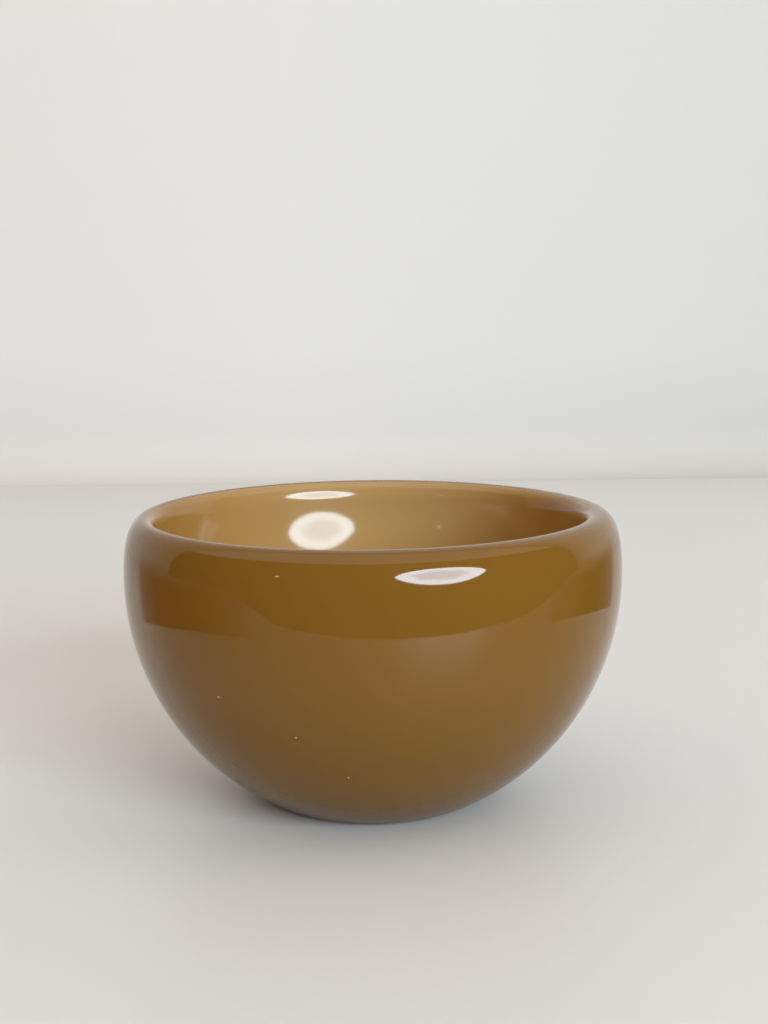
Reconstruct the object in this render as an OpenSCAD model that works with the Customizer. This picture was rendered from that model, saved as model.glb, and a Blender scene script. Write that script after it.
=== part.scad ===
// Cased art glass bowl.
// Thick opaline glass in three fused layers, blown round a single axis and rolled
// inwards at the rim. Units are millimetres. The axis of the bowl is Z, and the
// origin is the middle of the flat face that it stands on.

/* [Bowl] */
// Width across the widest line of the outside
bowl_d = 120; // [110:1:150]
// Height from the table to the crest of the rim
bowl_h = 70.5; // [58:0.5:90]
// Width of the flat resting face
base_d = 43.5; // [34:0.5:56]
// Radius of the soft edge between the resting face and the side
edge_r = 12; // [8:0.5:16]

/* [Rim] */
// Height of the crest above the widest line
rim_rise = 14.5; // [11:0.5:19]
// Distance that the crest lies inside the widest line
rim_in = 5.5; // [4.5:0.1:9]
// Squareness of the roll from the widest line to the crest, where 2 is an ellipse
rim_square = 2.4; // [2:0.1:2.6]
// Radius of the inner half of the rolled rim
lip_r = 3; // [2.6:0.1:4]
// Radius of the softer turn from the lip into the mouth
throat_r = 12; // [8:0.5:16]

/* [Cavity] */
// Thickness of the glass at the middle of the floor
floor_t = 13; // [9:0.5:18]
// Lean of the wall just under the lip, in degrees from upright
throat_lean = 5; // [2:0.5:10]
// Fullness of the cavity, where 0.71 is an ellipse and less is leaner
fullness = 0.6; // [0.4:0.05:0.8]

/* [Layers] */
// Thickness of the amber outer casing
casing_t = 2; // [1.4:0.1:2.4]
// Thickness of the caramel lining
lining_t = 1.6; // [1:0.1:2.2]

/* [Base] */
// Width of the polished dish that the pontil leaves
pontil_d = 18; // [12:1:24]
// Depth of the polished dish
pontil_depth = 0.8; // [0.3:0.1:1.1]

/* [Hidden] */

// Directions that the surface faces, in degrees above level: 0 is straight out and 90 is up
face_down = -90;
face_out = 0;
face_up = 90;
seam_face = 110;
lip_end_face = 160;
throat_end_face = 180 - throat_lean;

// Facets round the axis, and the largest turn of one straight stretch of the outline
round_fn = 180;
body_step = 4.5;
rim_step = 10;
dish_step = 1;
roll_steps = 18;
cavity_steps = 24;
same_point = 0.001;

bowl_r = bowl_d / 2;
base_r = base_d / 2;
pontil_r = pontil_d / 2;
widest_h = bowl_h - rim_rise;
crest_r = bowl_r - rim_in;

// The side is the one arc that is upright at the widest line and runs into the edge arc
side_in = bowl_r - base_r;
side_up = widest_h - edge_r;
side_r = (side_in ^ 2 + side_up ^ 2 - edge_r ^ 2) / (2 * (side_in - edge_r));
edge_c = [base_r, edge_r];
side_c = [bowl_r - side_r, widest_h];
side_face = atan2(edge_c.y - side_c.y, edge_c.x - side_c.x);

// The roll is a quarter of a squared ellipse, upright at the widest line and level at the crest
roll_power = 2 / rim_square;
roll_c = [crest_r, widest_h];

// The lip turns down from the crest, then a softer arc leads into the cavity
lip_c = [crest_r, bowl_h - lip_r];
throat_c = lip_c + (lip_r - throat_r) * heading(lip_end_face);
throat_end = throat_c + throat_r * heading(throat_end_face);

// The tangents at the throat and at the floor meet under the wall
cavity_h = throat_end.y - floor_t;
cavity_corner = [throat_end.x - cavity_h * tan(throat_lean), floor_t];
floor_mid = [0, floor_t];

// The dish is one shallow arc that cuts the resting face at its rim
dish_r = (pontil_r ^ 2 + pontil_depth ^ 2) / (2 * pontil_depth);
dish_turn = asin(pontil_r / dish_r);

function heading(a) = [cos(a), sin(a)];

// A station of the glass surface is its place in the half section and the way it faces.
// This gives the stations of one arc, without the first, which ends the stretch before.
function arc(c, r, from, to, step) =
    let (n = max(1, ceil(abs(to - from) / step)))
    [for (i = [1:n]) let (a = from + (to - from) * i / n) [c + r * heading(a), a]];

// One station of the roll, where t runs from 0 at the widest line to 90 at the crest
function roll_station(t) = [
    roll_c + [rim_in * cos(t) ^ roll_power, rim_rise * sin(t) ^ roll_power],
    atan2(sin(t) ^ (2 - roll_power) / rim_rise, cos(t) ^ (2 - roll_power) / rim_in)
];

// One point of the cavity's outline, a conic from the throat to the middle of the floor
function cavity_weights(t) = [(1 - t) ^ 2, 2 * fullness * t * (1 - t), t ^ 2];
function cavity_point(t) =
    let (w = cavity_weights(t))
    (w[0] * throat_end + w[1] * cavity_corner + w[2] * floor_mid) / (w[0] + w[1] + w[2]);

// The way the cavity's outline faces there, square to the chord across a short stretch
function cavity_face(t) =
    let (d = cavity_point(min(1, t + same_point)) - cavity_point(t - same_point))
    t >= 1 ? face_up : atan2(-d.x, d.y);

// Outside of the bowl, from the resting face over the crest to the seam inside the lip
outside = concat(
    [[[base_r, 0], face_down]],
    arc(edge_c, edge_r, face_down, side_face, body_step),
    arc(side_c, side_r, side_face, face_out, body_step),
    [for (i = [1:roll_steps]) roll_station(face_up * i / roll_steps)],
    arc(lip_c, lip_r, face_up, seam_face, rim_step)
);

// Inside of the bowl, from the seam down to the middle of the floor
inside = concat(
    [[lip_c + lip_r * heading(seam_face), seam_face]],
    arc(lip_c, lip_r, seam_face, lip_end_face, rim_step),
    arc(throat_c, throat_r, lip_end_face, throat_end_face, rim_step / 2),
    [for (i = [1:cavity_steps]) let (t = i / cavity_steps) [cavity_point(t), cavity_face(t)]]
);

// The polished dish, from the axis to the resting face
dish = [
    for (i = [0:ceil(dish_turn / dish_step)])
    let (a = min(i * dish_step, dish_turn))
    [dish_r * sin(a), pontil_depth - dish_r * (1 - cos(a))]
];

// The line that lies a depth t under the stations, measured square to the surface
function under(stations, t) = [for (s = stations) s[0] - t * heading(s[1])];

function backwards(points) = [for (i = [len(points) - 1:-1:0]) points[i]];

// Drops a point that repeats the one before it
function tidied(points) = [
    for (i = [0:len(points) - 1])
    if (i == 0 || norm(points[i] - points[max(0, i - 1)]) > same_point) points[i]
];

module blown(points) {
    rotate_extrude($fn = round_fn) polygon(tidied(points));
}

// Amber overlay round the outside, over the crest and under the base
module outer_casing() {
    color("#7a5a26")
        blown(concat(
            dish,
            under(outside, 0),
            backwards(under(outside, casing_t)),
            [[0, casing_t]]
        ));
}

// Opal gather that gives the wall its weight, closed in by the other two
module opal_core() {
    color("#c9a873")
        blown(concat(
            [[0, casing_t]],
            under(outside, casing_t),
            under(inside, lining_t)
        ));
}

// Caramel lining of the cavity, from the seam to the middle of the floor
module inner_lining() {
    color("#a8854f")
        blown(concat(
            backwards(under(inside, lining_t)),
            under(inside, 0)
        ));
}

outer_casing();
opal_core();
inner_lining();
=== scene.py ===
import math

import bpy
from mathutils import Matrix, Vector


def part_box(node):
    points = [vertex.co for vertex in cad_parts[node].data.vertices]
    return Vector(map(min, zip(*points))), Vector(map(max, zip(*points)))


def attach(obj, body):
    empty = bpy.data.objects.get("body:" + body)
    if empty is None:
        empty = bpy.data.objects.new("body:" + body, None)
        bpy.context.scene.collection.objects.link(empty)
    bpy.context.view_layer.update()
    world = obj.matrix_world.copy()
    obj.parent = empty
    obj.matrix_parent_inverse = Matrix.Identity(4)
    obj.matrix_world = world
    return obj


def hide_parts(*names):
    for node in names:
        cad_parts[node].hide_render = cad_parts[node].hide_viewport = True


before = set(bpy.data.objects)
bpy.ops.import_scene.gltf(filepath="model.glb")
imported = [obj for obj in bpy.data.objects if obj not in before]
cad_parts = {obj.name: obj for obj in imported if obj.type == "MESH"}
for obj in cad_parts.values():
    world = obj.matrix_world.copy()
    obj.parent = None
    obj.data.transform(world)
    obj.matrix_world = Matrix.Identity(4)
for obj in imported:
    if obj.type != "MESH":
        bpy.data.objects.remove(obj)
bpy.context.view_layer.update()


# ---- Amber casing ---------------------------------------------------------------------------
# The outer gather of the bowl: amber-brown opaline glass, 2 mm thick, blown over the core and
# turned in at the rim while soft. Its base is ground flat, with a shallow polished dish in the
# middle where the pontil was knocked off.

casing_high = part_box("outer_casing")[1]
bowl_r = min(casing_high.x, casing_high.y)
bowl_h = casing_high.z
base_r = 0.02175
edge_r = 0.012
rim_rise = 0.0145
rim_in = 0.0055
rim_square = 2.4
lip_r = 0.003
casing_t = 0.002
pontil_r = 0.009
pontil_depth = 0.0008
seam_face = 110
lip_end_face = 160

# Finest turn of the outline, in degrees, and the facets round the axis
body_turn = 1.5
rim_turn = 4
roll_steps = 44
dish_steps = 10
facets_round = 288

# Edges that turn by more than this many degrees stay crisp, and points closer than this join
crisp_turn = 8
join_gap = 1e-6

# Unevenness of hand-blown glass: how far the walls waver, as a share of the radius, and how
# far the mouth sits off the axis of the outside. The drift sets in where the section faces
# 40 degrees above level and is whole where it faces 120.
waver = 0.004
waver_scale = 14.0
waver_seed = 7
mouth_drift = (-0.0006, 0, 0)
drift_from, drift_whole = 40, 120

widest_h = bowl_h - rim_rise
crest_r = bowl_r - rim_in
side_in = bowl_r - base_r
side_up = widest_h - edge_r
side_r = (side_in ** 2 + side_up ** 2 - edge_r ** 2) / (2 * (side_in - edge_r))
side_c = (bowl_r - side_r, widest_h)
side_face = math.degrees(math.atan2(edge_r - widest_h, base_r - side_c[0]))
lip_c = (crest_r, bowl_h - lip_r)


def arc(centre, radius, start, end, turn):
    """Stations (r, z, facing) along one arc of the half section, without the first."""
    count = max(1, math.ceil(abs(end - start) / turn))
    faces = [start + (end - start) * i / count for i in range(1, count + 1)]
    return [(centre[0] + radius * math.cos(math.radians(a)),
             centre[1] + radius * math.sin(math.radians(a)), a) for a in faces]


def roll(steps):
    """Stations of the squared ellipse that rolls from the widest line in to the crest."""
    power = 2 / rim_square
    made = []
    for i in range(1, steps + 1):
        t = math.radians(90 * i / steps)
        c, s = max(math.cos(t), 0), math.sin(t)
        face = math.atan2(s ** (2 - power) / rim_rise, c ** (2 - power) / rim_in)
        made.append((crest_r + rim_in * c ** power, widest_h + rim_rise * s ** power,
                     math.degrees(face)))
    return made


def under(stations, depth):
    """The same stations moved a depth into the glass, square to the surface."""
    return [(r - depth * math.cos(math.radians(a)), z - depth * math.sin(math.radians(a)), a)
            for r, z, a in stations]


def section_mesh(name, stations):
    """The half section as a chain of points in the XZ plane, which the spinning tree reads.
    Each point keeps its share of the mouth's drift, from 0 on the outside to 1 inside."""
    mesh = bpy.data.meshes.new(name)
    mesh.from_pydata([(max(r, 0), 0, z) for r, z, a in stations],
                     [(i, i + 1) for i in range(len(stations) - 1)], [])
    mouthward = mesh.attributes.new("mouthward", "FLOAT", "POINT")
    for i, (r, z, a) in enumerate(stations):
        share = min(max((a - drift_from) / (drift_whole - drift_from), 0), 1)
        mouthward.data[i].value = share * share * (3 - 2 * share)
    return mesh


def spinning_tree():
    """Geometry nodes that spin a half section round the axis into one closed skin of glass."""
    tree = bpy.data.node_groups.new("spun_glass", "GeometryNodeTree")
    sockets = (("Section", "NodeSocketGeometry"), ("Facets Round", "NodeSocketInt"),
               ("Waver", "NodeSocketFloat"), ("Waver Scale", "NodeSocketFloat"),
               ("Mouth Drift", "NodeSocketVector"), ("Seed", "NodeSocketInt"),
               ("Glass", "NodeSocketMaterial"))
    for label, kind in sockets:
        tree.interface.new_socket(label, in_out="INPUT", socket_type=kind)
    tree.interface.new_socket("Skin", in_out="OUTPUT", socket_type="NodeSocketGeometry")
    nodes, links = tree.nodes, tree.links
    given = nodes.new("NodeGroupInput").outputs
    result = nodes.new("NodeGroupOutput").inputs

    def link(source, target):
        links.new(source, target)

    def math_node(operation, a, b=None):
        node = nodes.new("ShaderNodeMath")
        node.operation = operation
        for socket, value in zip(node.inputs, (a, b)):
            if isinstance(value, (int, float)):
                socket.default_value = value
            elif value is not None:
                link(value, socket)
        return node.outputs[0]

    def scaled(vector, factor):
        node = nodes.new("ShaderNodeVectorMath")
        node.operation = "SCALE"
        link(vector, node.inputs[0])
        link(factor, node.inputs["Scale"])
        return node.outputs[0]

    # A grid with one row for each point of the section and one column for each facet round
    count = nodes.new("GeometryNodeAttributeDomainSize")
    link(given["Section"], count.inputs["Geometry"])
    columns = math_node("ADD", given["Facets Round"], 1)
    grid = nodes.new("GeometryNodeMeshGrid")
    link(count.outputs["Point Count"], grid.inputs["Vertices X"])
    link(columns, grid.inputs["Vertices Y"])
    index = nodes.new("GeometryNodeInputIndex").outputs[0]
    row = math_node("FLOOR", math_node("DIVIDE", math_node("ADD", index, 0.5), columns))
    column = math_node("SUBTRACT", index, math_node("MULTIPLY", row, columns))
    angle = math_node("MULTIPLY", math_node("DIVIDE", column, given["Facets Round"]), 2 * math.pi)

    def of_section(kind, value):
        node = nodes.new("GeometryNodeSampleIndex")
        node.data_type = kind
        link(given["Section"], node.inputs["Geometry"])
        link(value, node.inputs["Value"])
        link(row, node.inputs["Index"])
        return node.outputs[0]

    place = nodes.new("ShaderNodeSeparateXYZ")
    point = nodes.new("GeometryNodeInputPosition").outputs[0]
    link(of_section("FLOAT_VECTOR", point), place.inputs[0])
    spun = nodes.new("ShaderNodeCombineXYZ")
    link(math_node("MULTIPLY", place.outputs["X"], math_node("COSINE", angle)), spun.inputs["X"])
    link(math_node("MULTIPLY", place.outputs["X"], math_node("SINE", angle)), spun.inputs["Y"])
    link(place.outputs["Z"], spun.inputs["Z"])

    # Soft unevenness that only ever draws the glass inwards
    noise = nodes.new("ShaderNodeTexNoise")
    noise.noise_dimensions = "4D"
    link(spun.outputs[0], noise.inputs["Vector"])
    link(given["Seed"], noise.inputs["W"])
    link(given["Waver Scale"], noise.inputs["Scale"])
    noise.inputs["Detail"].default_value = 0
    kept = math_node("SUBTRACT", 1, math_node("MULTIPLY", noise.outputs[0], given["Waver"]))

    # The mouth sits a little off the axis of the outside
    mouthward = nodes.new("GeometryNodeInputNamedAttribute")
    mouthward.data_type = "FLOAT"
    mouthward.inputs["Name"].default_value = "mouthward"
    drift = scaled(given["Mouth Drift"], of_section("FLOAT", mouthward.outputs["Attribute"]))
    moved = nodes.new("ShaderNodeVectorMath")
    moved.operation = "ADD"
    link(scaled(spun.outputs[0], kept), moved.inputs[0])
    link(drift, moved.inputs[1])
    shape = nodes.new("GeometryNodeSetPosition")
    link(grid.outputs["Mesh"], shape.inputs["Geometry"])
    link(moved.outputs[0], shape.inputs["Position"])

    # The last column lies on the first, and each pole is one point
    closed = nodes.new("GeometryNodeMergeByDistance")
    closed.inputs["Distance"].default_value = join_gap
    link(shape.outputs[0], closed.inputs["Geometry"])
    smooth = nodes.new("GeometryNodeSetShadeSmooth")
    link(closed.outputs[0], smooth.inputs["Geometry"])
    # The corners at the seams and the edge of the dish stay crisp
    turn = nodes.new("GeometryNodeInputMeshEdgeAngle")
    crisp = nodes.new("GeometryNodeSetShadeSmooth")
    crisp.domain = "EDGE"
    link(smooth.outputs[0], crisp.inputs["Geometry"])
    soft = math_node("LESS_THAN", turn.outputs["Unsigned Angle"], math.radians(crisp_turn))
    link(soft, crisp.inputs["Shade Smooth"])
    real = nodes.new("GeometryNodeRealizeInstances")
    link(crisp.outputs[0], real.inputs[0])
    glass = nodes.new("GeometryNodeSetMaterial")
    link(real.outputs[0], glass.inputs["Geometry"])
    link(given["Glass"], glass.inputs["Material"])
    link(glass.outputs[0], result[0])
    return tree


spun_glass = spinning_tree()


def blow(name, stations, glass):
    """Spins a half section into a closed skin and gives it back as a plain mesh."""
    blank = bpy.data.objects.new(name + "_section", section_mesh(name + "_section", stations))
    bpy.context.scene.collection.objects.link(blank)
    spin = blank.modifiers.new("spin", "NODES")
    spin.node_group = spun_glass
    values = {"Facets Round": facets_round, "Waver": waver, "Waver Scale": waver_scale,
              "Mouth Drift": mouth_drift, "Seed": waver_seed, "Glass": glass}
    for item in spun_glass.interface.items_tree:
        if item.in_out == "INPUT" and item.name in values:
            spin[item.identifier] = values[item.name]
    seen = blank.evaluated_get(bpy.context.evaluated_depsgraph_get())
    mesh = bpy.data.meshes.new_from_object(seen)
    blank.modifiers.remove(spin)
    bpy.data.objects.remove(blank)
    mesh.name = name
    piece = bpy.data.objects.new(name, mesh)
    bpy.context.scene.collection.objects.link(piece)
    return piece


def opaline(name, light, deep, drift, start, clouding, gloss):
    """Opaline glass: two tones that drift into each other across the bowl, blended with cloudy
    noise that is the glass's own uneven tone; on the casing and the lining the drift is painted
    light and shade. A wet gloss that hardly varies, the faint ripple of a hand-worked skin and a
    few pale seeds."""
    glass = bpy.data.materials.new(name)
    glass.use_nodes = True
    nodes, links = glass.node_tree.nodes, glass.node_tree.links
    skin = nodes["Principled BSDF"]
    skin.inputs["IOR"].default_value = 1.5
    cloud_share = 0.3
    tone_width = 0.6
    seeds_across = 180
    seed_edge, seed_body = 0.055, 0.04
    seedless = 0.93
    seed_tone = (0.6, 0.48, 0.3)
    ripple_scale = 45
    ripple_strength, ripple_depth = 0.25, 0.0004
    where = nodes.new("ShaderNodeTexCoord").outputs["Object"]

    cloud = nodes.new("ShaderNodeTexNoise")
    cloud.inputs["Scale"].default_value = clouding
    cloud.inputs["Detail"].default_value = 3
    links.new(where, cloud.inputs["Vector"])
    along = nodes.new("ShaderNodeVectorMath")
    along.operation = "DOT_PRODUCT"
    links.new(where, along.inputs[0])
    along.inputs[1].default_value = drift
    either_way = nodes.new("ShaderNodeMath")
    either_way.operation = "ABSOLUTE"
    links.new(along.outputs["Value"], either_way.inputs[0])
    mixed = nodes.new("ShaderNodeMath")
    mixed.operation = "MULTIPLY_ADD"
    links.new(cloud.outputs[0], mixed.inputs[0])
    mixed.inputs[1].default_value = cloud_share
    links.new(either_way.outputs[0], mixed.inputs[2])
    tones = nodes.new("ShaderNodeValToRGB")
    tones.color_ramp.elements[0].position = start
    tones.color_ramp.elements[0].color = (*deep, 1)
    tones.color_ramp.elements[1].position = start + tone_width
    tones.color_ramp.elements[1].color = (*light, 1)
    links.new(mixed.outputs[0], tones.inputs[0])

    # Seeds are tiny trapped bubbles, and only a few of the cells have one
    seeds = nodes.new("ShaderNodeTexVoronoi")
    seeds.inputs["Scale"].default_value = seeds_across
    links.new(where, seeds.inputs["Vector"])
    speck = nodes.new("ShaderNodeMapRange")
    speck.inputs["From Min"].default_value = seed_edge
    speck.inputs["From Max"].default_value = seed_body
    links.new(seeds.outputs["Distance"], speck.inputs["Value"])
    chance = nodes.new("ShaderNodeSeparateColor")
    links.new(seeds.outputs["Color"], chance.inputs[0])
    few = nodes.new("ShaderNodeMath")
    few.operation = "GREATER_THAN"
    few.inputs[1].default_value = seedless
    links.new(chance.outputs[0], few.inputs[0])
    seen = nodes.new("ShaderNodeMath")
    seen.operation = "MULTIPLY"
    links.new(speck.outputs[0], seen.inputs[0])
    links.new(few.outputs[0], seen.inputs[1])
    seeded = nodes.new("ShaderNodeMix")
    seeded.data_type = "RGBA"
    links.new(seen.outputs[0], seeded.inputs["Factor"])
    links.new(tones.outputs["Color"], seeded.inputs["A"])
    seeded.inputs["B"].default_value = (*seed_tone, 1)
    links.new(seeded.outputs["Result"], skin.inputs["Base Color"])

    # The gloss is up to 30% sharper or duller from place to place
    polish = nodes.new("ShaderNodeMapRange")
    polish.inputs["To Min"].default_value = gloss * 0.7
    polish.inputs["To Max"].default_value = gloss * 1.3
    links.new(cloud.outputs[0], polish.inputs["Value"])
    links.new(polish.outputs[0], skin.inputs["Roughness"])

    ripple = nodes.new("ShaderNodeTexNoise")
    ripple.inputs["Scale"].default_value = ripple_scale
    ripple.inputs["Detail"].default_value = 1
    links.new(where, ripple.inputs["Vector"])
    bump = nodes.new("ShaderNodeBump")
    bump.inputs["Strength"].default_value = ripple_strength
    bump.inputs["Distance"].default_value = ripple_depth
    links.new(ripple.outputs[0], bump.inputs["Height"])
    links.new(bump.outputs[0], skin.inputs["Normal"])
    return glass


# The casing's colour darkens towards the base: painted shade on the lower body. The cloudy noise in
# it is the glass's own uneven tone.
amber = opaline("amber_casing", light=(0.18, 0.083, 0.0105), deep=(0.155, 0.075, 0.008),
                drift=(0, 0, 16), start=0.25, clouding=22, gloss=0.05)

edge_start = [(base_r, 0, -90)]
outside = (edge_start + arc((base_r, edge_r), edge_r, -90, side_face, body_turn)
           + arc(side_c, side_r, side_face, 0, body_turn)
           + roll(roll_steps)
           + arc(lip_c, lip_r, 90, seam_face, rim_turn))
dish_r = (pontil_r ** 2 + pontil_depth ** 2) / (2 * pontil_depth)
dish_turns = [math.asin(pontil_r / dish_r) * i / dish_steps for i in range(dish_steps + 1)]
dish = [(dish_r * math.sin(t), pontil_depth - dish_r * (1 - math.cos(t)), -90) for t in dish_turns]
casing = blow("amber_casing",
              dish + outside + under(outside, casing_t)[::-1] + [(0, casing_t, -90)], amber)
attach(casing, "root")
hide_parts("outer_casing")


# ---- Caramel lining -------------------------------------------------------------------------
# The first gather, which the blower's breath opens into the cavity: light caramel opaline
# glass, 1.6 mm thick. It runs from the seam just inside the crest down to the floor.

throat_r = 0.012
throat_lean = 5
floor_t = 0.013
fullness = 0.6
lining_t = 0.0016
cavity_steps = 96

throat_c = (lip_c[0] + (lip_r - throat_r) * math.cos(math.radians(lip_end_face)),
            lip_c[1] + (lip_r - throat_r) * math.sin(math.radians(lip_end_face)))
throat_face = 180 - throat_lean
throat_end = arc(throat_c, throat_r, lip_end_face, throat_face, rim_turn)[-1][:2]
corner_r = throat_end[0] - (throat_end[1] - floor_t) * math.tan(math.radians(throat_lean))


def cavity(t):
    """A place on the conic from the throat, where t is 0, to the middle of the floor."""
    a, b, c = (1 - t) ** 2, 2 * fullness * t * (1 - t), t ** 2
    return ((a * throat_end[0] + b * corner_r) / (a + b + c),
            (a * throat_end[1] + (b + c) * floor_t) / (a + b + c))


def cavity_station(t):
    """The place with the angle that the glass faces there, level with the floor at its middle."""
    (r0, z0), (r1, z1) = cavity(t - 0.001), cavity(min(t + 0.001, 1))
    face = 90 if t == 1 else math.degrees(math.atan2(r0 - r1, z1 - z0))
    return (*cavity(t), face)


inside = ([(lip_c[0] + lip_r * math.cos(math.radians(seam_face)),
            lip_c[1] + lip_r * math.sin(math.radians(seam_face)), seam_face)]
          + arc(lip_c, lip_r, seam_face, lip_end_face, rim_turn)
          + arc(throat_c, throat_r, lip_end_face, throat_face, rim_turn / 2)
          + [cavity_station(i / cavity_steps) for i in range(1, cavity_steps + 1)])
# The lining's colour is painted light and shade: lighter towards the back and front of the cavity,
# darker towards its sides, more so on the right of the back wall. The cloudy noise in it is the
# glass's own uneven tone.
caramel = opaline("caramel_lining", light=(0.42, 0.266, 0.105), deep=(0.305, 0.147, 0.021),
                  drift=(-1.5, 16, 0), start=0.42, clouding=22, gloss=0.095)
lining = blow("caramel_lining", under(inside, lining_t)[::-1] + inside, caramel)
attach(lining, "root")
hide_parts("inner_lining")


# ---- Opal core ------------------------------------------------------------------------------
# The thick middle gather, pale honey opal glass that gives the bowl its weight. It is closed
# in between the casing and the lining, so nothing of it shows.

opal = opaline("opal_core", light=(0.62, 0.45, 0.25), deep=(0.58, 0.41, 0.22),
               drift=(0, 0, 8), start=0.1, clouding=18, gloss=0.08)
core = blow("opal_gather",
            [(0, casing_t, -90)] + under(outside, casing_t) + under(inside, lining_t), opal)
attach(core, "root")
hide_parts("opal_core")


# ---- Table and wall -------------------------------------------------------------------------
# A sheet of pale paper: it lies flat under the bowl, satin on that part, and turns up in a
# bend of 30 mm into a matt wall 0.6 m behind it.

wall_y = 0.6
bend_r = 0.03
bend_steps = 12
sweep_half = 3.0
wall_top = 3.0
table_gap = 0.0001

bend_turns = [math.radians(90 * i / bend_steps) for i in range(bend_steps + 1)]
bend = [(wall_y - bend_r + bend_r * math.sin(t), bend_r - bend_r * math.cos(t)) for t in bend_turns]
sweep_line = [(-sweep_half, 0)] + bend + [(wall_y, wall_top)]
corners = [(x, y, z - table_gap) for y, z in sweep_line for x in (-sweep_half, sweep_half)]
sweep_mesh = bpy.data.meshes.new("paper_sweep")
sweep_mesh.from_pydata(corners, [], [(2 * i, 2 * i + 1, 2 * i + 3, 2 * i + 2)
                                     for i in range(len(sweep_line) - 1)])
sweep_mesh.shade_smooth()
sweep = bpy.data.objects.new("paper_sweep", sweep_mesh)
bpy.context.scene.collection.objects.link(sweep)


def paper(name, roughness):
    """A paper of its own for one part of the sweep, with its place on the sheet as X, Y, Z."""
    made = bpy.data.materials.new(name)
    made.use_nodes = True
    nodes, links = made.node_tree.nodes, made.node_tree.links
    nodes["Principled BSDF"].inputs["Roughness"].default_value = roughness
    sheet_place = nodes.new("ShaderNodeSeparateXYZ")
    links.new(nodes.new("ShaderNodeTexCoord").outputs["Object"], sheet_place.inputs[0])
    sweep_mesh.materials.append(made)
    return nodes, links, sheet_place


def paint_shade(nodes, links, along, start, end, level, tone):
    """Painted shade: the tone times a factor that goes from 1 at the start to the level at the end.
    """
    factor = nodes.new("ShaderNodeMapRange")
    for label, value in (("From Min", start), ("From Max", end), ("To Min", 1.0), ("To Max", level)):
        factor.inputs[label].default_value = value
    links.new(along, factor.inputs["Value"])
    scaled = nodes.new("ShaderNodeVectorMath")
    scaled.operation = "SCALE"
    links.new(tone, scaled.inputs[0])
    links.new(factor.outputs[0], scaled.inputs["Scale"])
    links.new(scaled.outputs[0], nodes["Principled BSDF"].inputs["Base Color"])


# The table top is a pale near white, with painted shade that greys it a little towards the
# wall. For glossy rays only, its near part is a darker grey than the camera sees, painted shade
# that the glass reflects: this comes in from 60 mm behind the bowl's axis to 60 mm in front of it.
table_white = (0.74, 0.74, 0.74)
mirrored_shade = (0.42, 0.41, 0.4)
mirrored_from, mirrored_whole = 0.06, -0.06
mirrored_share = 0.8
table_shade_from, table_shade_to, table_shade = 0.42, 0.58, 0.93

nodes, links, sheet_place = paper("table_paper", 0.43)
# Painted shade for glossy rays only: the near part of the table is darker where the glass reflects
# it
near = nodes.new("ShaderNodeMapRange")
near.inputs["From Min"].default_value = mirrored_from
near.inputs["From Max"].default_value = mirrored_whole
near.inputs["To Max"].default_value = mirrored_share
links.new(sheet_place.outputs["Y"], near.inputs["Value"])
mirrored = nodes.new("ShaderNodeMath")
mirrored.operation = "MULTIPLY"
links.new(near.outputs[0], mirrored.inputs[0])
links.new(nodes.new("ShaderNodeLightPath").outputs["Is Glossy Ray"], mirrored.inputs[1])
table_tones = nodes.new("ShaderNodeMix")
table_tones.data_type = "RGBA"
table_tones.inputs["A"].default_value = (*table_white, 1)
table_tones.inputs["B"].default_value = (*mirrored_shade, 1)
links.new(mirrored.outputs[0], table_tones.inputs["Factor"])
# Painted shade: the table darkens a little towards the bend into the wall
paint_shade(nodes, links, sheet_place.outputs["Y"], table_shade_from, table_shade_to, table_shade,
       table_tones.outputs["Result"])

# The wall has painted shade: it is a little greyer low down, where it turns into the bend, and on
# its right
wall_bend_shade = (0.7, 0.69, 0.675)
wall_high = (0.77, 0.76, 0.745)
wall_bend_shade_top = 0.08
wall_right_shade_from, wall_right_shade_to, wall_right_shade = -0.05, 0.25, 0.87

nodes, links, sheet_place = paper("wall_paper", 0.95)
# Painted shade low on the wall, where it turns into the bend
wall_tones = nodes.new("ShaderNodeValToRGB")
wall_tones.color_ramp.elements[0].color = (*wall_bend_shade, 1)
wall_tones.color_ramp.elements[1].position = wall_bend_shade_top
wall_tones.color_ramp.elements[1].color = (*wall_high, 1)
links.new(sheet_place.outputs["Z"], wall_tones.inputs[0])
# Painted shade on the right of the wall
paint_shade(nodes, links, sheet_place.outputs["X"], wall_right_shade_from, wall_right_shade_to, wall_right_shade,
       wall_tones.outputs["Color"])
for face in sweep_mesh.polygons[1:]:
    face.material_index = 1


# ---- Light ----------------------------------------------------------------------------------
# A soft oval lamp in front of the bowl and to the right, a small far one on the left, a side
# light and a pale room. Dark cards, which only the gloss of the glass sees, stand for the
# dark room on the camera's side, the end of the table and two coloured things by the bowl.

def towards(azimuth, elevation, distance):
    """A place that far from the bowl's rim, at an azimuth right of the camera's side."""
    a, e = math.radians(azimuth), math.radians(elevation)
    return (math.sin(a) * math.cos(e) * distance, -math.cos(a) * math.cos(e) * distance,
            bowl_h + math.sin(e) * distance)


def glow(name, colour, strength):
    """A material that only gives light, at the given colour and strength."""
    light = bpy.data.materials.new(name)
    light.use_nodes = True
    nodes, links = light.node_tree.nodes, light.node_tree.links
    nodes.remove(nodes["Principled BSDF"])
    lit = nodes.new("ShaderNodeEmission")
    lit.inputs["Color"].default_value = (*colour, 1)
    lit.inputs["Strength"].default_value = strength
    links.new(lit.outputs[0], nodes["Material Output"].inputs["Surface"])
    return light


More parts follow.
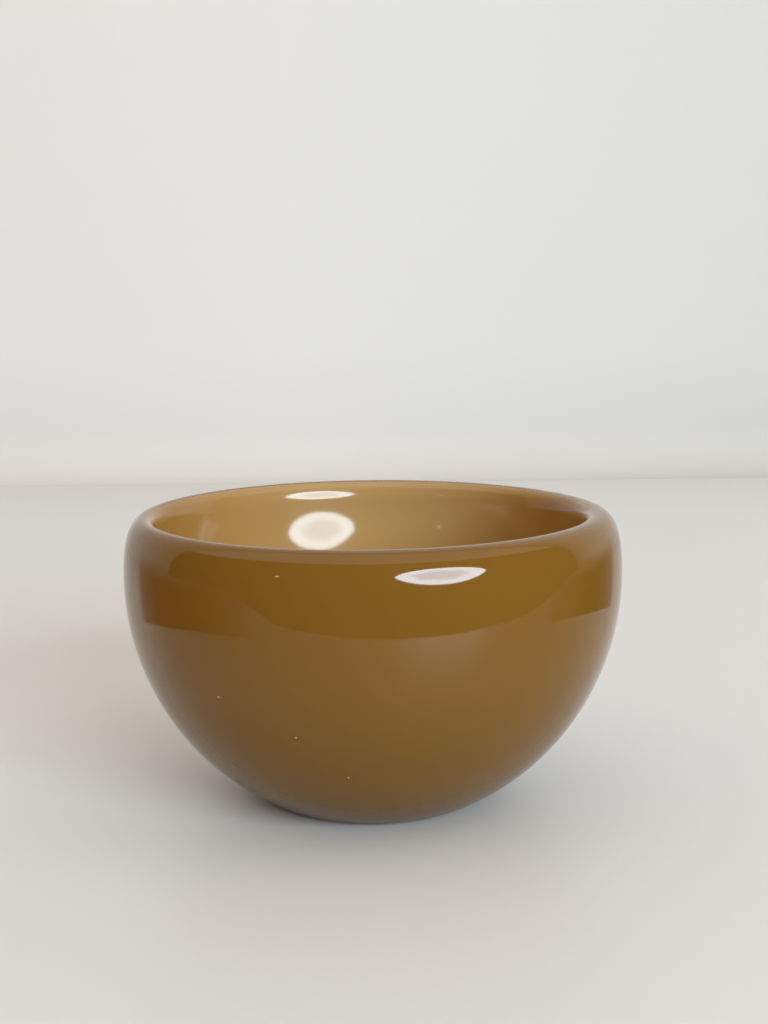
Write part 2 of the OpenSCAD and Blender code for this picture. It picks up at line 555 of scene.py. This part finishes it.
# The diffuser: an oval seen from the bowl, drawn to a point at its ends, in degrees. Its silk
# is bluish and creased, and brighter round its edge and in its middle than between the two.
lamp_az, lamp_el = 30.3, 18.5
lamp_wide, lamp_high = 21, 10.5
lamp_pointed = 0.25
lamp_far = 2.2
lamp_points = 64
lamp_strength = 13.4
lamp_blue = (0.77, 0.89, 1.0)
lamp_middle = (0.94, 1.08, 1.2)
lamp_edge = (0.98, 1.12, 1.24)
lamp_levels = ((0.34, 0.86), (0.75, 0.92), (0.95, 1.25))
crease_scale, crease_share = 9, 0.5

lamp_turns = [2 * math.pi * i / lamp_points for i in range(lamp_points)]
oval = [towards(lamp_az + lamp_wide * math.cos(t),
                lamp_el + lamp_high * math.sin(t) * abs(math.sin(t)) ** lamp_pointed, lamp_far)
        for t in lamp_turns]
diffuser_mesh = bpy.data.meshes.new("diffuser")
diffuser_mesh.from_pydata(oval + [towards(lamp_az, lamp_el, lamp_far)], [],
                          [(i, (i + 1) % lamp_points, lamp_points) for i in range(lamp_points)])
diffuser = bpy.data.objects.new("diffuser", diffuser_mesh)
bpy.context.scene.collection.objects.link(diffuser)
outward = diffuser_mesh.attributes.new("outward", "FLOAT", "POINT")
outward.data.foreach_set("value", [1.0] * lamp_points + [0.0])
silk = glow("diffuser_silk", lamp_blue, lamp_strength)
silk_nodes, silk_links = silk.node_tree.nodes, silk.node_tree.links
spread = silk_nodes.new("ShaderNodeAttribute")
spread.attribute_name = "outward"
folds = silk_nodes.new("ShaderNodeTexNoise")
folds.inputs["Scale"].default_value = crease_scale
folds.inputs["Detail"].default_value = 2
silk_links.new(silk_nodes.new("ShaderNodeTexCoord").outputs["Object"], folds.inputs["Vector"])
creased = silk_nodes.new("ShaderNodeMath")
creased.operation = "MULTIPLY_ADD"
silk_links.new(folds.outputs[0], creased.inputs[0])
creased.inputs[1].default_value = crease_share
silk_links.new(spread.outputs["Fac"], creased.inputs[2])
shine = silk_nodes.new("ShaderNodeValToRGB")
shine.color_ramp.elements[0].position = 0.16
shine.color_ramp.elements[0].color = (*lamp_middle, 1)
shine.color_ramp.elements[1].position = 1.0
shine.color_ramp.elements[1].color = (*lamp_edge, 1)
for place, level in lamp_levels:
    stop = shine.color_ramp.elements.new(place)
    stop.color = (*(part * level for part in lamp_blue), 1)
silk_links.new(creased.outputs[0], shine.inputs[0])
silk_links.new(shine.outputs["Color"], silk_nodes["Emission"].inputs["Color"])
diffuser_mesh.materials.append(silk)
diffuser.visible_camera = False

# A small far lamp on the left, a lozenge 70 mm wide and 40 mm high
spark_az, spark_el, spark_far = -43, 16, 2
spark_at = Vector(towards(spark_az, spark_el, spark_far))
spark_side = spark_at.cross(Vector((0, 0, 1))).normalized() * 0.035
spark_up = Vector((0, 0, 0.02))
spark_mesh = bpy.data.meshes.new("far_lamp")
spark_mesh.from_pydata([spark_at - spark_side, spark_at - spark_up,
                        spark_at + spark_side, spark_at + spark_up], [], [(0, 1, 2, 3)])
spark = bpy.data.objects.new("far_lamp", spark_mesh)
bpy.context.scene.collection.objects.link(spark)
spark_mesh.materials.append(glow("far_lamp", (1.0, 0.95, 0.88), 14))
spark.visible_camera = False

# The side light, which softens the shadow and isn't seen in the gloss
side_at = towards(72, 46, 1.5)
side_light = bpy.data.lights.new("side_light", "AREA")
side_light.shape = "DISK"
side_light.size = 0.7
side_light.energy = 1.1
side_light.color = (0.82, 0.93, 1.08)
side_lamp = bpy.data.objects.new("side_lamp", side_light)
side_lamp.location = side_at
side_lamp.rotation_euler = Vector(side_at).to_track_quat("Z", "Y").to_euler()
side_lamp.visible_glossy = False
bpy.context.scene.collection.objects.link(side_lamp)


def dark_card(name, corners, faces, colour):
    """A dark card that is seen only in the gloss of the glass."""
    mesh = bpy.data.meshes.new(name)
    mesh.from_pydata(corners, [], faces)
    card = bpy.data.objects.new(name, mesh)
    bpy.context.scene.collection.objects.link(card)
    mesh.materials.append(glow(name, colour, 1))
    card.visible_camera = False
    card.visible_diffuse = False
    card.visible_shadow = False
    card.visible_transmission = False
    return card


# The room behind the camera: dark from below the table up to 47 degrees above it in the
# middle, and less far up at the sides
room_dark = (0.045, 0.04, 0.03)
room_from, room_to = -122, 132
room_far = 2.9
room_low = -0.6
room_top = 47
room_fall = 26
room_steps = 52
room_az = [room_from + (room_to - room_from) * i / room_steps for i in range(room_steps + 1)]
room_corners = []
for az in room_az:
    turn = math.radians(az)
    high = room_far * math.tan(math.radians(room_top - room_fall * (az / room_to) ** 2))
    room_corners += [(room_far * math.sin(turn), -room_far * math.cos(turn), z)
                     for z in (room_low, high)]
dark_card("dark_room", room_corners,
          [(2 * i, 2 * i + 1, 2 * i + 3, 2 * i + 2) for i in range(room_steps)], room_dark)

# The drop beyond the near edge of the table, which runs a little askew and bows outwards
drop_line = ((-3, -1.2), (-0.18, -0.215), (-0.06, -0.212), (0.06, -0.198), (0.16, -0.17),
             (0.28, -0.11), (3, 0.5), (3, -3), (-3, -3))
drop_z = 0.001
dark_card("table_drop", [(x, y, drop_z) for x, y in drop_line], [tuple(range(len(drop_line)))],
          room_dark)


def low_card(name, start, end, far, colour):
    """A card 75 mm high that stands round the bowl from one azimuth to another, and thins
    out towards its two ends and its top."""
    steps = 16
    turns = [math.radians(start + (end - start) * i / steps) for i in range(steps + 1)]
    line = [(far * math.sin(t), -far * math.cos(t)) for t in turns]
    heights, solid = (0, 0.045, 0.075), (1, 1, 0)
    thinning = 0.4
    rows = len(heights)
    card = dark_card(name, [(x, y, z) for x, y in line for z in heights],
                     [(rows * i + j, rows * i + j + 1, rows * i + j + rows + 1, rows * i + j + rows)
                      for i in range(steps) for j in range(rows - 1)], colour)
    body = card.data.attributes.new("body", "FLOAT", "POINT")
    body.data.foreach_set("value", [share * math.sin(math.pi * i / steps) ** thinning
                                    for i in range(steps + 1) for share in solid])
    nodes, links = card.data.materials[0].node_tree.nodes, card.data.materials[0].node_tree.links
    share = nodes.new("ShaderNodeAttribute")
    share.attribute_name = "body"
    mixed = nodes.new("ShaderNodeMixShader")
    links.new(share.outputs["Fac"], mixed.inputs["Fac"])
    links.new(nodes.new("ShaderNodeBsdfTransparent").outputs[0], mixed.inputs[1])
    links.new(nodes["Emission"].outputs[0], mixed.inputs[2])
    links.new(mixed.outputs[0], nodes["Material Output"].inputs["Surface"])
    return card


# A russet card close by on the left, and a mossy one on the right
low_card("russet_card", -116, -46, 0.2, (0.19, 0.025, 0.008))
low_card("moss_card", 72, 126, 0.22, (0.03, 0.025, 0.005))

# The room's diffuse light: a warm pale ceiling over browner, dimmer walls
walls_tone, walls_to = (0.4, 0.29, 0.18), 0.3
ceiling_tone, ceiling_from = (0.98, 0.86, 0.71), 0.7
room_strength = 0.9
backdrop_tone = (0.83, 0.815, 0.79)
room = bpy.data.worlds.new("room")
room.use_nodes = True
room_nodes, room_links = room.node_tree.nodes, room.node_tree.links
height = room_nodes.new("ShaderNodeSeparateXYZ")
room_links.new(room_nodes.new("ShaderNodeTexCoord").outputs["Generated"], height.inputs[0])
room_tones = room_nodes.new("ShaderNodeValToRGB")
room_tones.color_ramp.elements[0].position = walls_to
room_tones.color_ramp.elements[0].color = (*walls_tone, 1)
room_tones.color_ramp.elements[1].position = ceiling_from
room_tones.color_ramp.elements[1].color = (*ceiling_tone, 1)
room_links.new(height.outputs["Z"], room_tones.inputs[0])
room_links.new(room_tones.outputs["Color"], room_nodes["Background"].inputs["Color"])
room_nodes["Background"].inputs["Strength"].default_value = room_strength

# Camera, glossy and transmission rays see the plain pale backdrop of the studio instead
backdrop = room_nodes.new("ShaderNodeBackground")
backdrop.inputs["Color"].default_value = (*backdrop_tone, 1)
ray = room_nodes.new("ShaderNodeLightPath")
seen_or_mirrored = room_nodes.new("ShaderNodeMath")
seen_or_mirrored.operation = "MAXIMUM"
room_links.new(ray.outputs["Is Camera Ray"], seen_or_mirrored.inputs[0])
room_links.new(ray.outputs["Is Glossy Ray"], seen_or_mirrored.inputs[1])
or_through = room_nodes.new("ShaderNodeMath")
or_through.operation = "MAXIMUM"
room_links.new(seen_or_mirrored.outputs[0], or_through.inputs[0])
room_links.new(ray.outputs["Is Transmission Ray"], or_through.inputs[1])
sky = room_nodes.new("ShaderNodeMixShader")
room_links.new(or_through.outputs[0], sky.inputs["Fac"])
room_links.new(room_nodes["Background"].outputs[0], sky.inputs[1])
room_links.new(backdrop.outputs[0], sky.inputs[2])
room_links.new(sky.outputs[0], room_nodes["World Output"].inputs["Surface"])
bpy.context.scene.world = room


# ---- Camera ---------------------------------------------------------------------------------
# It stands 37 cm in front of the bowl's axis and 13 cm above the table. It looks down and a
# little to the right, and leans sideways by under a degree, all in degrees.

camera_y = -0.3682
camera_z = 0.1269
look_down = 8.81
look_right = 0.536
lean = 0.65

lens = bpy.data.cameras.new("camera")
lens.lens = 54.2
lens.sensor_width = 36
camera = bpy.data.objects.new("camera", lens)
camera.location = (0, camera_y, camera_z)
camera.rotation_euler = (math.radians(90 - look_down), math.radians(lean), math.radians(-look_right))
bpy.context.scene.collection.objects.link(camera)
bpy.context.scene.camera = camera
bpy.context.scene.view_settings.view_transform = "Standard"
